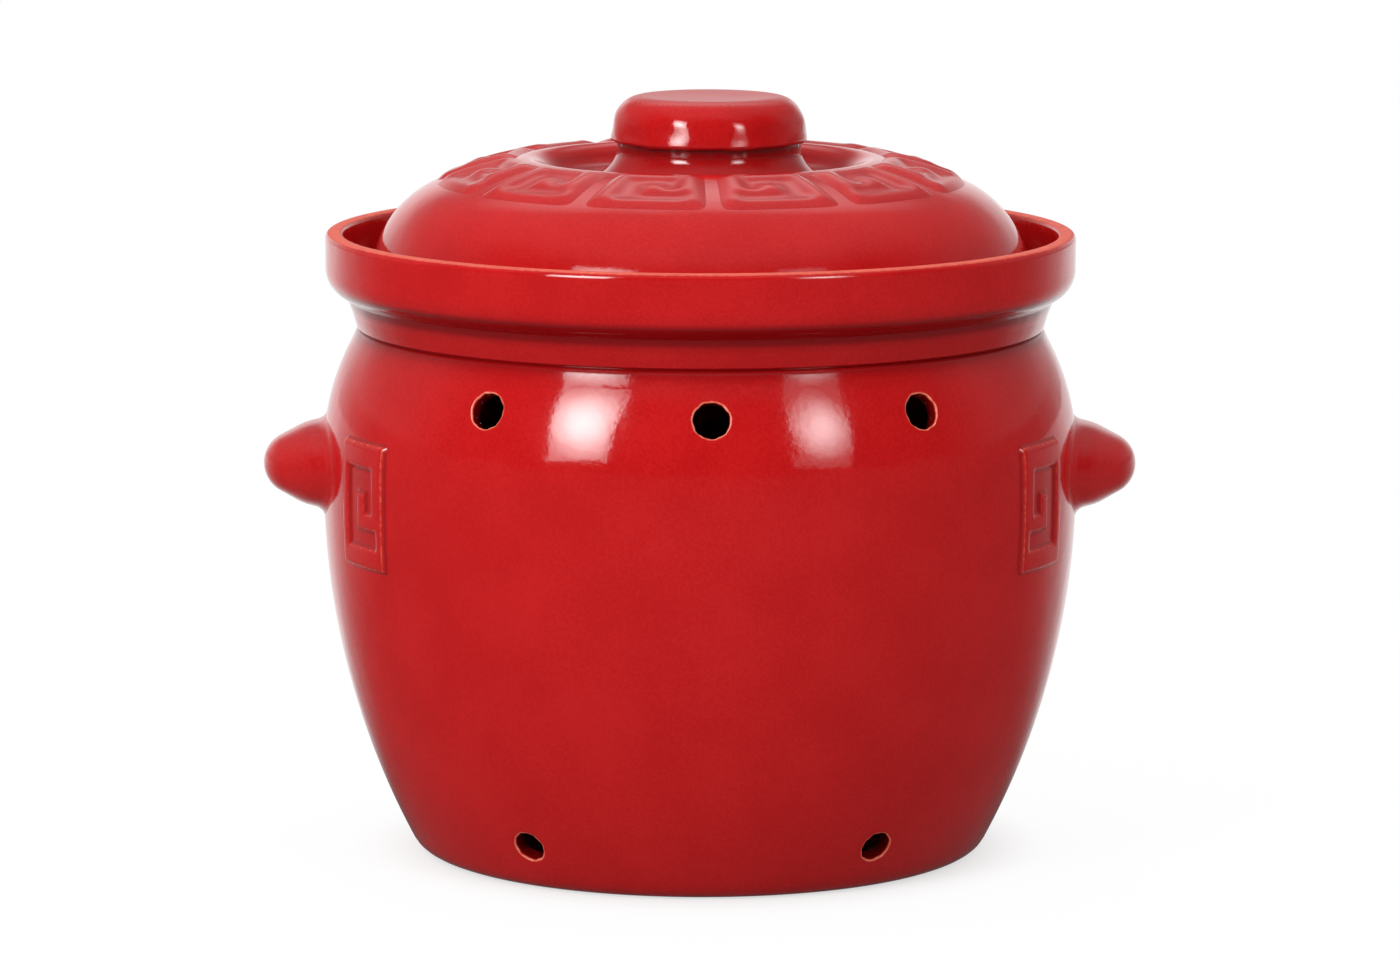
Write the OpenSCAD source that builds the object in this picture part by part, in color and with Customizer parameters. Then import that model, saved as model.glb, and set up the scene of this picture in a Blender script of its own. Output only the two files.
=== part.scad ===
// Glazed stoneware storage pot for potatoes: a round vented pot with a
// guttered rim, two lug handles and a domed lid that stands in the gutter.
// Millimetres, +Z up, origin at the middle of the foot, front towards -Y.

/* [Pot wall] */
// Greatest diameter of the belly
belly_d = 282; // [240:1:320]
// Height of the lower edge of the belly's straight band
belly_z = 138; // [120:1:150]
// Height of the straight band round the belly
belly_band = 12; // [6:1:16]
// Radius of the long curve from the foot up to the belly
belly_arc = 286; // [260:2:360]
// Radius of the shoulder curve above the belly
shoulder_arc = 87; // [84:1:110]
// Height of the groove where the neck collar starts
neck_z = 196.5; // [190:0.5:200]
// Thickness of the thrown wall
wall = 6.5; // [5:0.5:8]
// Thickness of the floor above the foot
floor_t = 8.5; // [6:0.5:11]

/* [Foot] */
// Rounding of the outer edge of the foot
foot_round = 9.5; // [6:0.5:11]
// Width of the flat ring that the pot stands on
foot_ring_w = 11; // [7:1:16]
// Depth of the hollow inside the foot ring
foot_hollow = 2.5; // [1.5:0.5:3.5]
// Rounding between floor and wall inside the pot
floor_round = 12; // [8:1:15]

/* [Vents] */
// Diameter of the vents in the shoulder
upper_vent_d = 13.4; // [8:0.2:16]
// Height at which the shoulder vents open
upper_vent_z = 180; // [172:1:184]
// Angle between neighbouring shoulder vents
upper_vent_pitch = 35; // [26:1:44]
// Angle by which the middle vent of a side is off its middle
middle_vent_off = 0.9; // [-3:0.1:3]
// Diameter of the vents above the foot
lower_vent_d = 12; // [8:0.2:12.4]
// Height at which the foot vents open
lower_vent_z = 17.5; // [17:0.5:24]
// Angle of a foot vent from the front or the back
lower_vent_angle = 33.5; // [20:0.5:60]

/* [Neck and rim] */
// How far the rim band stands in from the belly
rim_in = 1; // [-4:0.5:4]
// Height of the rim band above the gutter floor
rim_h = 19; // [15:0.5:25]
// Thickness of the rim band
rim_t = 6.6; // [5:0.2:8]
// Height of the gutter floor, which the lid stands on, above the collar
gutter_rise = 5.3; // [4.5:0.1:7]
// Height of the collar below the flare of the rim
collar_h = 11.7; // [10:0.1:13]
// Step out from the groove to the collar
collar_step = 4.5; // [3:0.5:5.5]
// Rounding under the rim band
rim_round = 11; // [9:0.5:12]
// Height above the gutter floor at which the rim's face starts to turn under
rim_turn = 5.8; // [3:0.2:7]
// Rounding of the rim's top edges
rim_edge = 1.6; // [0.8:0.2:2.4]
// Gap between the upstand round the mouth and the lid's foot
mouth_gap = 5.5; // [5:0.1:12]
// Thickness of the upstand round the mouth
mouth_t = 6; // [4:0.5:6.5]
// Height of the upstand above the gutter floor
mouth_h = 10; // [6:0.5:12]

/* [Lugs] */
// How far a lug's tip stands out from the belly
lug_out = 22.5; // [17:0.5:29]
// Height of the middle of a lug
lug_z = 145; // [138:1:152]
// Radius of a lug in plan
lug_plan_r = 38; // [34:0.5:40]
// Radius of a lug's rounded tip
lug_tip_r = 11.5; // [9:0.5:12]
// Half height of a lug at its middle, inside the wall
lug_root = 23; // [20:0.5:26]

/* [Key plaques] */
// Width of a plaque round the wall
plaque_w = 32; // [24:1:38]
// Height of a plaque
plaque_h = 47; // [36:1:54]
// Height of the middle of a plaque
plaque_z = 139; // [130:1:146]
// Angle of a plaque from the front or the back
plaque_angle = 61.5; // [56:0.5:64]
// Thickness of a plaque on the wall
plaque_t = 1.8; // [1:0.1:2.6]
// Clay left under the sunk key
key_floor = 0.4; // [0.3:0.1:0.8]

/* [Lid] */
// Gap between the lid's foot and the rim band
lid_gap = 7.9; // [5.9:0.1:11.9]
// Lean of the lid's skirt off the vertical
lid_lean = 18; // [10:0.5:24]
// Radius of the round side of the lid above its skirt
lid_side_r = 40; // [36:1:44]
// Height of the middle of that round side above the lid's foot
lid_side_rise = 0.3; // [-1.5:0.1:1.5]
// How far in from the lid's foot the round side passes into the top
lid_side_in = 26; // [21.5:0.5:26]
// Radius of the flatter top of the lid
lid_top_r = 130; // [120:5:170]
// How far in from the lid's foot the top passes into the crest
lid_top_in = 59; // [58.5:0.5:61.5]
// Rounding of the crest round the well
crest_r = 8; // [7.4:0.2:10]
// Rounding at the bottom of the well
well_r = 8; // [6:0.5:10]
// Thickness of the lid
lid_wall = 6.5; // [5:0.5:7]

/* [Lid frieze] */
// Number of key panels round the lid
panel_count = 12; // [12:1:12]
// Angle that one panel covers
panel_angle = 26.5; // [20:0.5:28]
// Angle by which the frieze is turned from the front towards the right
frieze_turn = 2; // [-10:0.5:10]
// How far in from the lid's foot the panels start
panel_edge = 27; // [26.5:0.5:35.5]
// Width of the ring of panels, measured towards the axis
panel_w = 30.5; // [22.5:0.5:31]
// Thickness of a panel on the lid
panel_t = 1.8; // [1:0.1:2.6]

/* [Knob] */
// Sideways shift of the hand-set knob from the lid's axis
knob_shift = 3; // [-3:0.5:3]
// Gap between the foot of the knob's neck and the side of the well
knob_gap = 3.5; // [3:0.1:8]
// Radius of the hollow curve from the neck to the lid
knob_flare_r = 14.4; // [10:0.2:14.6]
// Lean of the neck's upper end off the vertical
knob_flare_lean = 20; // [0:1:30]
// Height of the knob's neck above the bottom of the well
knob_neck_h = 14.4; // [12:0.2:18]
// How far the cap's lower edge stands out from the neck
knob_over = 2.5; // [1.5:0.1:5]
// Height of the cap
knob_cap_h = 16.5; // [14:0.5:21]
// Rounding of the cap's top edge
knob_round = 11; // [8:0.5:13]
// Inward lean of the cap's side
knob_lean = 1; // [0:0.2:3]

/* [Hidden] */
panel_nodes = [for (i = [1 : panel_count]) str("frieze_panel_", i)];
$fn = 96;
glaze = "#b8242a";
dark_glaze = "#8f1a20";
// Straight pieces in each round stretch of a turned outline, and in the lid's flat top
arc_steps = 10;
top_steps = 5;
// Cutters pass a face by this much
past = 30;

// Wall curves
belly_r = belly_d / 2;
belly_x = belly_r - belly_arc;
shoulder_x = belly_r - shoulder_arc;
shoulder_z = belly_z + belly_band;

// Rim and gutter
rim_r = belly_r - rim_in;
gutter_r = rim_r - rim_t;
lid_r = gutter_r - lid_gap;
mouth_r = lid_r - lid_wall - mouth_gap - mouth_t;
neck_r = shoulder_x + sqrt(pow(shoulder_arc, 2) - pow(neck_z - shoulder_z, 2));
neck_in_r = shoulder_x + sqrt(pow(shoulder_arc - wall, 2) - pow(neck_z - shoulder_z, 2));
collar_r = neck_r + collar_step;
collar_z = neck_z + collar_h;
gutter_z = collar_z + gutter_rise;
rim_z = gutter_z + rim_h;
// Middle of the rounding under the rim, the angle where it leaves the collar's flare
// and the angle at which it passes the gutter floor
under_x = rim_r - rim_round;
under_z = gutter_z + rim_turn;
under_end = -60;
under_split = -asin(rim_turn / rim_round);

// Lid curves, each starting where the one before ends
lid_side_x = lid_r - lid_side_r / cos(lid_lean) - lid_side_rise * tan(lid_lean);
lid_side_z = gutter_z + lid_side_rise;
side_end = acos((lid_r - lid_side_in - lid_side_x) / lid_side_r);
lid_top_x = lid_side_x + (lid_side_r - lid_top_r) * cos(side_end);
lid_top_z = lid_side_z + (lid_side_r - lid_top_r) * sin(side_end);
top_end = acos((lid_r - lid_top_in - lid_top_x) / lid_top_r);
crest_x = lid_top_x + (lid_top_r - crest_r) * cos(top_end);
crest_z = lid_top_z + (lid_top_r - crest_r) * sin(top_end);
crest_end = 150;
well_x = crest_x + (crest_r + well_r) * cos(crest_end);
well_z = crest_z + (crest_r + well_r) * sin(crest_end);
well_floor = well_z - well_r;

// Frieze
panel_out_r = lid_r - panel_edge;
panel_in_r = panel_out_r - panel_w;

// Knob
flare_x = well_x - knob_gap;
knob_neck_r = flare_x - knob_flare_r * cos(knob_flare_lean);
knob_cap_r = knob_neck_r + knob_over;
knob_cap_z = well_floor + knob_neck_h;
cap_top = knob_cap_z + knob_cap_h;

// Outline of the sunk key, as fractions of a panel: across from the side next to
// the lug, and up from the bottom edge
key_line = [
    [0.85, 0.18], [0.19, 0.18], [0.19, 0.80], [0.76, 0.80], [0.76, 0.45],
    [0.61, 0.45], [0.61, 0.60], [0.42, 0.60], [0.42, 0.32], [0.85, 0.32]
];

// Points along a circular arc
function arc(cx, cz, r, from, to, steps = arc_steps) = [
    for (i = [0 : steps])
        let (a = from + (to - from) * i / steps)
        [cx + r * cos(a), cz + r * sin(a)]
];

// Middle of a rounding that touches a level and the inside of the belly curve
function corner_x(r, level, round) =
    belly_x + sqrt(pow(r - round, 2) - pow(belly_z - level - round, 2));
function corner_angle(r, level, round) =
    -asin((belly_z - level - round) / (r - round));

// Outline of the wall from the foot's edge to the neck, moved outwards by a gap
function wall_line(gap, level, round) =
    let (
        long_r = belly_arc + gap,
        short_r = shoulder_arc + gap,
        start = corner_angle(long_r, level, round),
        corner = arc(corner_x(long_r, level, round), level + round, round, -90, start),
        belly = arc(belly_x, belly_z, long_r, start, 0),
        shoulder = arc(shoulder_x, shoulder_z, short_r, 0, asin((neck_z - shoulder_z) / short_r))
    )
    concat(corner, [for (i = [1 : arc_steps]) belly[i]], shoulder);

// Outline of the lid's upper side from its foot to the well, moved outwards by a gap
function lid_line(gap) =
    let (
        side_r = lid_side_r + gap,
        side = arc(lid_side_x, lid_side_z, side_r, lid_lean, side_end),
        foot_r = side[0][0] + (side[0][1] - gutter_z) * tan(lid_lean),
        top = arc(lid_top_x, lid_top_z, lid_top_r + gap, side_end, top_end, top_steps),
        crest = arc(crest_x, crest_z, crest_r + gap, top_end, crest_end),
        well = arc(well_x, well_z, well_r - gap, crest_end - 180, -90)
    )
    concat([[foot_r, gutter_z]], side, [for (i = [1 : top_steps]) top[i]],
        [for (i = [1 : arc_steps]) crest[i]], [for (i = [1 : arc_steps]) well[i]]);

// Height and lean of the wall's outer face at a vent
function wall_lean(z) = z < belly_z
    ? asin((z - belly_z) / belly_arc)
    : asin(max(0, z - shoulder_z) / shoulder_arc);
function wall_r(z) = z < belly_z
    ? belly_x + belly_arc * cos(wall_lean(z))
    : shoulder_x + shoulder_arc * cos(wall_lean(z));

// Solid of the pot's outer form
module wall_solid(gap = 0) {
    rotate_extrude() polygon(concat([[0, 0]], wall_line(gap, 0, foot_round), [[0, neck_z]]));
}

// Solid of the lid's outer form
module lid_solid(gap = 0) {
    line = lid_line(gap);
    rotate_extrude() polygon(concat([[0, gutter_z]], line, [[0, line[len(line) - 1][1]]]));
}

// Cutter square to the wall at a given height and angle from the front
module vent(d, z, turn) {
    lean = wall_lean(z);
    rotate([0, 0, turn]) translate([0, -wall_r(z), z]) rotate([90 - lean, 0, 0])
        translate([0, 0, -past]) cylinder(h = 2 * past, d = d);
}

// Hollow thrown wall with its floor, foot ring and vents
module pot_body() {
    color(glaze) difference() {
        wall_solid();
        rotate_extrude() polygon(concat([[0, floor_t]], wall_line(-wall, floor_t, floor_round),
            [[neck_in_r, neck_z + past], [0, neck_z + past]]));
        translate([0, 0, -past])
            cylinder(h = past + foot_hollow, r = corner_x(belly_arc, 0, foot_round) - foot_ring_w);
        for (side = [0, 180]) {
            vent(upper_vent_d, upper_vent_z, side + middle_vent_off);
            for (k = [-1, 1]) vent(upper_vent_d, upper_vent_z, side + k * upper_vent_pitch);
            for (k = [-1, 1]) vent(lower_vent_d, lower_vent_z, side + k * lower_vent_angle);
        }
    }
}

// Collar above the groove, flared out to carry the gutter floor
module neck_collar() {
    floor_under = gutter_z - wall;
    flare = arc(under_x, under_z, rim_round, under_end, under_split);
    color(dark_glaze) rotate_extrude() polygon(concat(
        [[neck_in_r, neck_z], [neck_r, neck_z], [neck_r + 0.3 * collar_step, neck_z + 0.2 * collar_h]],
        [[collar_r, collar_z]], flare, [[mouth_r, gutter_z], [mouth_r, floor_under]],
        [[collar_r - 1.3 * wall, floor_under]]));
}

// Upright band round the gutter
module rim_band() {
    color(glaze) rotate_extrude() polygon(concat(
        [[gutter_r, gutter_z]], arc(under_x, under_z, rim_round, under_split, 0),
        arc(rim_r - rim_edge, rim_z - rim_edge, rim_edge, 0, 90),
        arc(gutter_r + rim_edge, rim_z - rim_edge, rim_edge, 90, 180)));
}

// Upstand round the mouth, inside the gutter
module mouth_ring() {
    round = mouth_t / 2;
    color(glaze) rotate_extrude() polygon(concat(
        [[mouth_r, gutter_z], [mouth_r + mouth_t, gutter_z]],
        arc(mouth_r + round, gutter_z + mouth_h - round, round, 0, 180)));
}

// Ear-shaped lug on the right, trimmed to the wall
module lug() {
    tip_x = lug_plan_r - lug_tip_r;
    lean = atan2(tip_x, lug_root) + asin(lug_tip_r / norm([tip_x, lug_root]));
    nose = arc(tip_x, 0, lug_tip_r, -lean, lean);
    color(glaze) difference() {
        translate([belly_r + lug_out - lug_plan_r, 0, lug_z])
            rotate_extrude() polygon(concat([[0, -lug_root]], nose, [[0, lug_root]]));
        wall_solid();
    }
}

module left_lug() {
    mirror([1, 0, 0]) lug();
}

module right_lug() {
    lug();
}

// Raised plaque with its sunk key, on the right of the front
module plaque() {
    low = plaque_z - plaque_h / 2;
    color(glaze) rotate([0, 0, plaque_angle]) difference() {
        intersection() {
            wall_solid(plaque_t);
            translate([-plaque_w / 2, -rim_r - past, low]) cube([plaque_w, rim_r, plaque_h]);
        }
        wall_solid();
        difference() {
            rotate([90, 0, 0]) linear_extrude(rim_r + past)
                polygon([for (p = key_line) [plaque_w * (0.5 - p[0]), low + plaque_h * p[1]]]);
            wall_solid(key_floor);
        }
    }
}

module front_right_plaque() {
    plaque();
}

module front_left_plaque() {
    mirror([1, 0, 0]) plaque();
}

module rear_right_plaque() {
    mirror([0, 1, 0]) plaque();
}

module rear_left_plaque() {
    mirror([1, 0, 0]) mirror([0, 1, 0]) plaque();
}

// Shell of the lid, with the foot that stands in the gutter
module lid_dome() {
    inner = lid_line(-lid_wall);
    under = inner[len(inner) - 1][1];
    color(glaze) difference() {
        lid_solid();
        rotate_extrude() polygon(concat([[0, gutter_z - past], [inner[0][0], gutter_z - past]],
            inner, [[0, under]]));
    }
}

// Flared neck standing in the lid's well
module knob_neck() {
    flare_z = well_floor + knob_flare_r;
    flare = arc(flare_x, flare_z, knob_flare_r, 270, 180 + knob_flare_lean);
    color(glaze) translate([knob_shift, 0, 0]) rotate_extrude() polygon(concat(
        [[0, well_floor]], flare, [[knob_neck_r, knob_cap_z], [0, knob_cap_z]]));
}

// Flat round cap on the neck
module knob_cap() {
    top_r = knob_cap_r - knob_lean - knob_round;
    color(glaze) translate([knob_shift, 0, 0]) rotate_extrude() polygon(concat(
        [[0, knob_cap_z], [knob_cap_r - 1, knob_cap_z], [knob_cap_r, knob_cap_z + 1]],
        arc(top_r, cap_top - knob_round, knob_round, 8, 90), [[0, cap_top]]));
}

// Tall piece of a ring that a panel is cut from, in the middle of the front
module panel_block() {
    rotate([0, 0, -90 - panel_angle / 2]) rotate_extrude(angle = panel_angle)
        translate([panel_in_r, gutter_z]) square([panel_w, 3 * past]);
}

// Key panel on the right half of the lid, counted round from the front
module right_panel(index) {
    color(glaze) rotate([0, 0, (index - 0.5) * 360 / panel_count]) difference() {
        intersection() {
            lid_solid(panel_t);
            panel_block();
        }
        lid_solid();
        difference() {
            translate([0, 0, gutter_z]) linear_extrude(3 * past)
                polygon([for (p = key_line)
                    let (a = panel_angle * (0.5 - p[0]), r = panel_out_r - panel_w * p[1])
                    [r * sin(a), -r * cos(a)]]);
            lid_solid(key_floor);
        }
    }
}

// Panel of either half; those on the left mirror those on the right
module frieze_panel(index) {
    rotate([0, 0, frieze_turn]) {
        if (index > panel_count / 2) {
            mirror([1, 0, 0]) right_panel(panel_count + 1 - index);
        } else {
            right_panel(index);
        }
    }
}

pot_body();
neck_collar();
rim_band();
mouth_ring();
left_lug();
right_lug();
front_left_plaque();
front_right_plaque();
rear_left_plaque();
rear_right_plaque();
lid_dome();
knob_neck();
knob_cap();
for (i = [1 : panel_count]) {
    frieze_panel(i);
}
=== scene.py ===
"""Dress of a red glazed storage pot for potatoes.

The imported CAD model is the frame. The visible pieces are built round it, sized in
millimetres and placed in metres, and then get their glaze, floor, light and camera.
"""

import logging
import math
from bisect import bisect_right
from collections.abc import Callable, Sequence
from dataclasses import dataclass, field
from enum import Enum
from itertools import accumulate
from typing import Any

import bmesh
import bpy
from bmesh.types import BMEdge, BMesh, BMVert
from bpy.types import ID, Material, NodeSocket, NodeTree, Object
from mathutils import Matrix, Vector


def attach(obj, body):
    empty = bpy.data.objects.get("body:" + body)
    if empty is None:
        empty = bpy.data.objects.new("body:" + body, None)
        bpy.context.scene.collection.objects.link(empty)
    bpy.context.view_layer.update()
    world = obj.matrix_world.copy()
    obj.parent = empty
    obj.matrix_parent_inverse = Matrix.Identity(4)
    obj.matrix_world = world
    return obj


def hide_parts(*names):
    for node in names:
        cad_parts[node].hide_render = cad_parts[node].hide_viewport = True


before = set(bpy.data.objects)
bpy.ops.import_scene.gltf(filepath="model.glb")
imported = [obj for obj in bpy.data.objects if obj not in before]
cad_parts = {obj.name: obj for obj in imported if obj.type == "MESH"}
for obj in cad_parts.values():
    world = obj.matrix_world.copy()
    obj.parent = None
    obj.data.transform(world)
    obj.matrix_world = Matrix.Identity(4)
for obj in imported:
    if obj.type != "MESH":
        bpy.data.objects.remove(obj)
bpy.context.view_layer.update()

MM = 0.001
SLOT = "red_glaze"
LOG = logging.getLogger("storage_pot")

Point = tuple[float, float]
Span = tuple[float, float]
Colour = tuple[float, float, float]


class Body(Enum):
    """The two things that the object comes apart into."""

    POT = "pot"
    LID = "lid"


class Coat(Enum):
    """Point values that tell the finish how the glaze lies, and where shade is painted into it."""

    THIN = "glaze_thin"
    # Pooled glaze together with painted shade under overhangs, in creases and inside holes.
    POOL = "glaze_pool_and_shade"
    DULL = "glaze_dull"
    BARE = "clay_bare"


class Hand(Enum):
    """Side of the pot that a lug or plaque is on, as the sign of X."""

    LEFT = -1
    RIGHT = 1


class Face(Enum):
    """Front or rear of the pot, as the sign of Y."""

    FRONT = -1
    REAR = 1


def ease(low: float, high: float, x: float) -> float:
    """Smooth step of x from 0 at low to 1 at high."""
    t = min(1.0, max(0.0, (x - low) / (high - low)))
    return t * t * (3.0 - 2.0 * t)


def bell(x: float, middle: float, width: float) -> float:
    """Bell curve that is 1 at its middle."""
    return math.exp(-(((x - middle) / width) ** 2))


def polar(radius: float, degrees: float, height: float) -> Vector:
    """Place at a radius and height, at an angle counted from the front towards the right."""
    a = math.radians(degrees)
    return Vector((radius * math.sin(a), -radius * math.cos(a), height))


def onward(centre: Point, reach: float, degrees: float) -> Point:
    """Place at a reach and an angle from a centre, where 0 degrees points outwards."""
    a = math.radians(degrees)
    return centre[0] + reach * math.cos(a), centre[1] + reach * math.sin(a)


def show(name: str, data: ID) -> Object:
    """Makes an object of a mesh, lamp or camera and puts it in the scene.

    Args:
        name: The object's name.
        data: What it shows.

    Returns:
        The new object.
    """
    made = bpy.data.objects.new(name, data)
    bpy.context.scene.collection.objects.link(made)
    return made


def pull(bm: BMesh, edges: Sequence[BMEdge]) -> tuple[list[BMVert], list[BMEdge]]:
    """Grows a strip of faces from edges; gives the points and edges on its free side."""
    grown = bmesh.ops.extrude_edge_only(bm, edges=edges)["geom"]
    return ([g for g in grown if isinstance(g, BMVert)],
            [g for g in grown if isinstance(g, BMEdge)])


@dataclass
class Outline:
    """Half section of a turned form, as corners (radius, height, rounding) in millimetres."""

    corners: list[tuple[float, float, float]] = field(default_factory=list)

    def to(self, radius: float, height: float, rounding: float = 0.0) -> "Outline":
        """Adds a corner and returns the outline."""
        self.corners.append((radius, height, rounding))
        return self

    def arc(self, centre: Point, radius: float, start: float, end: float,
            step: float = 5.0) -> "Outline":
        """Adds points along a circle.

        Args:
            centre: Radius and height of the circle's middle.
            radius: The circle's radius.
            start: First angle in degrees, where 0 points outwards.
            end: Last angle in degrees.
            step: Greatest angle between neighbouring points.

        Returns:
            The outline.
        """
        count = max(2, math.ceil(abs(end - start) / step))
        for i in range(count + 1):
            self.to(*onward(centre, radius, start + (end - start) * i / count))
        return self

    def line(self, step: float, closed: bool = False) -> list[Point]:
        """Follows the outline with its corners rounded.

        Args:
            step: Greatest gap between neighbouring points.
            closed: Whether the last corner joins the first.

        Returns:
            The points in order.
        """
        drawn: list[Vector] = []
        count = len(self.corners)
        for i, (r, z, rounding) in enumerate(self.corners):
            here = Vector((r, z))
            if rounding <= 0.0 or not (closed or 0 < i < count - 1):
                drawn.append(here)
                continue
            before = Vector(self.corners[i - 1][:2]) - here
            after = Vector(self.corners[(i + 1) % count][:2]) - here
            drawn += fillet(here, before.normalized(), after.normalized(), rounding)
        if closed:
            drawn.append(drawn[0])
        points: list[Point] = []
        for a, b in zip(drawn, drawn[1:]):
            parts = max(1, math.ceil((b - a).length / step))
            points += [tuple(a.lerp(b, k / parts)) for k in range(parts)]
        return points if closed else points + [tuple(drawn[-1])]


def fillet(corner: Vector, before: Vector, after: Vector, radius: float,
           count: int = 7) -> list[Vector]:
    """Rounds a corner between two straight stretches.

    Args:
        corner: The sharp corner.
        before: Direction from the corner to the point before it.
        after: Direction from the corner to the point after it.
        radius: Radius of the rounding.
        count: Number of points on it.

    Returns:
        Points from the first tangent point to the second.
    """
    half = 0.5 * before.angle(after)
    if half > 0.49 * math.pi:
        return [corner]
    reach = radius / math.tan(half)
    middle = corner + (before + after).normalized() * (radius / math.sin(half))
    first = corner + before * reach - middle
    last = corner + after * reach - middle
    return [middle + first.slerp(last, k / (count - 1)) * radius for k in range(count)]


def turn(line: Sequence[Point], closed: bool = False, steps: int = 240) -> BMesh:
    """Spins an outline round the upright axis.

    Args:
        line: Points (radius, height) in millimetres.
        closed: Whether the last point joins the first.
        steps: Number of faces round the axis.

    Returns:
        A new mesh with its faces outwards.
    """
    bm = bmesh.new()
    verts = [bm.verts.new((r * MM, 0.0, z * MM)) for r, z in line]
    pairs = list(zip(verts, verts[1:])) + ([(verts[-1], verts[0])] if closed else [])
    edges = [bm.edges.new(pair) for pair in pairs]
    bmesh.ops.spin(bm, geom=verts + edges, cent=(0, 0, 0), axis=(0, 0, 1),
                   angle=math.tau, steps=steps, use_merge=True)
    bmesh.ops.remove_doubles(bm, verts=bm.verts, dist=1e-6)
    bmesh.ops.recalc_face_normals(bm, faces=bm.faces)
    return bm


def lay(bm: BMesh, coat: Coat, amount: Callable[[Vector], float]) -> None:
    """Writes how the glaze lies at every point.

    Args:
        bm: The mesh.
        coat: Which value is written.
        amount: Gives the value, from 0 to 1, for a place in millimetres.
    """
    layers = bm.verts.layers.float
    layer = layers.get(coat.value) or layers.new(coat.value)
    for v in bm.verts:
        v[layer] = min(1.0, max(0.0, amount(v.co / MM)))


def place(bm: BMesh, name: str, body: Body, nodes: Sequence[str],
          finish: Material) -> None:
    """Makes a mesh a piece of the object.

    Args:
        bm: The finished mesh, which is freed.
        name: The piece's name.
        body: The body that it moves with.
        nodes: The CAD nodes that it stands for.
        finish: Its material.
    """
    for f in bm.faces:
        f.smooth = True
    mesh = bpy.data.meshes.new(name)
    bm.to_mesh(mesh)
    bm.free()
    mesh.materials.append(finish)
    piece = show(name, mesh)
    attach(piece, body.value)
    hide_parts(*nodes)
    LOG.info("%s: %d faces, rides on %s", name, len(mesh.polygons), body.value)


class Value:
    """A socket that takes part in Python expressions, which add Math nodes."""

    def __init__(self, graph: "Graph", socket: NodeSocket) -> None:
        """Wraps an output socket of a graph."""
        self.graph, self.socket = graph, socket

    def math(self, operation: str, *others: "Value | float") -> "Value":
        """Adds a Math node on this value and others."""
        return self.graph.add("ShaderNodeMath", {"operation": operation},
                              dict(enumerate((self, *others))))

    def __add__(self, other: "Value | float") -> "Value":
        """Sum."""
        return self.math("ADD", other)

    def __mul__(self, other: "Value | float") -> "Value":
        """Product."""
        return self.math("MULTIPLY", other)

    def __sub__(self, other: "Value | float") -> "Value":
        """Difference."""
        return self.math("SUBTRACT", other)

    def __rsub__(self, other: float) -> "Value":
        """Difference from a number."""
        return (self * -1.0) + other

    __radd__, __rmul__ = __add__, __mul__

    def ease(self, low: float, high: float, kind: str = "SMOOTHSTEP") -> "Value":
        """Step from 0 at low to 1 at high, smooth or of another kind."""
        return self.graph.add("ShaderNodeMapRange", {"interpolation_type": kind},
                              {"Value": self, "From Min": low, "From Max": high})


class Graph:
    """Nodes of a material, lamp or world."""

    def __init__(self, tree: NodeTree) -> None:
        """Takes over a node tree and empties it."""
        self.tree = tree
        tree.nodes.clear()

    def add(self, kind: str, settings: dict[str, Any] | None = None,
            sockets: dict[str | int, Any] | None = None, out: str | int = 0) -> Value:
        """Adds a node.

        Args:
            kind: The node's type.
            settings: Properties that are set first.
            sockets: Values or links of its inputs, by name or number.
            out: The output that is wanted.

        Returns:
            That output.
        """
        node = self.tree.nodes.new(kind)
        for key, value in (settings or {}).items():
            setattr(node, key, value)
        for key, value in (sockets or {}).items():
            if isinstance(value, Value):
                self.tree.links.new(value.socket, node.inputs[key])
            else:
                node.inputs[key].default_value = value
        return Value(self, node.outputs[out] if node.outputs else None)

    def noise(self, scale: float, detail: float) -> Value:
        """Noise on the piece's own place, with features of about 1 / scale metres."""
        where = self.add("ShaderNodeTexCoord", out="Object")
        return self.add("ShaderNodeTexNoise", None,
                        {"Vector": where, "Scale": scale, "Detail": detail}, "Fac")

    def part(self, vector: Value, axis: int) -> Value:
        """One of the three numbers of a vector."""
        return self.add("ShaderNodeSeparateXYZ", None, {0: vector}, axis)

    def length(self, vector: Value) -> Value:
        """Length of a vector."""
        return self.add("ShaderNodeVectorMath", {"operation": "LENGTH"}, {0: vector}, "Value")

    def rays(self) -> tuple[Value, Value]:
        """Whether a ray comes from the camera, and whether from a shiny or clear surface."""
        seen, glossy, clear = (self.add("ShaderNodeLightPath", out=f"Is {kind} Ray")
                               for kind in ("Camera", "Glossy", "Transmission"))
        return seen, glossy + clear

    def coat(self, coat: Coat) -> Value:
        """The point value that says how the glaze lies."""
        return self.add("ShaderNodeAttribute", {"attribute_name": coat.value}, out="Fac")

    def blend(self, share: Value, a: "Value | Colour", b: "Value | Colour") -> Value:
        """Colour a where share is 0 and b where it is 1."""
        ends = [x if isinstance(x, Value) else (*x, 1.0) for x in (a, b)]
        return self.add("ShaderNodeMix", {"data_type": "RGBA"},
                        {0: share, 6: ends[0], 7: ends[1]}, 2)


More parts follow.
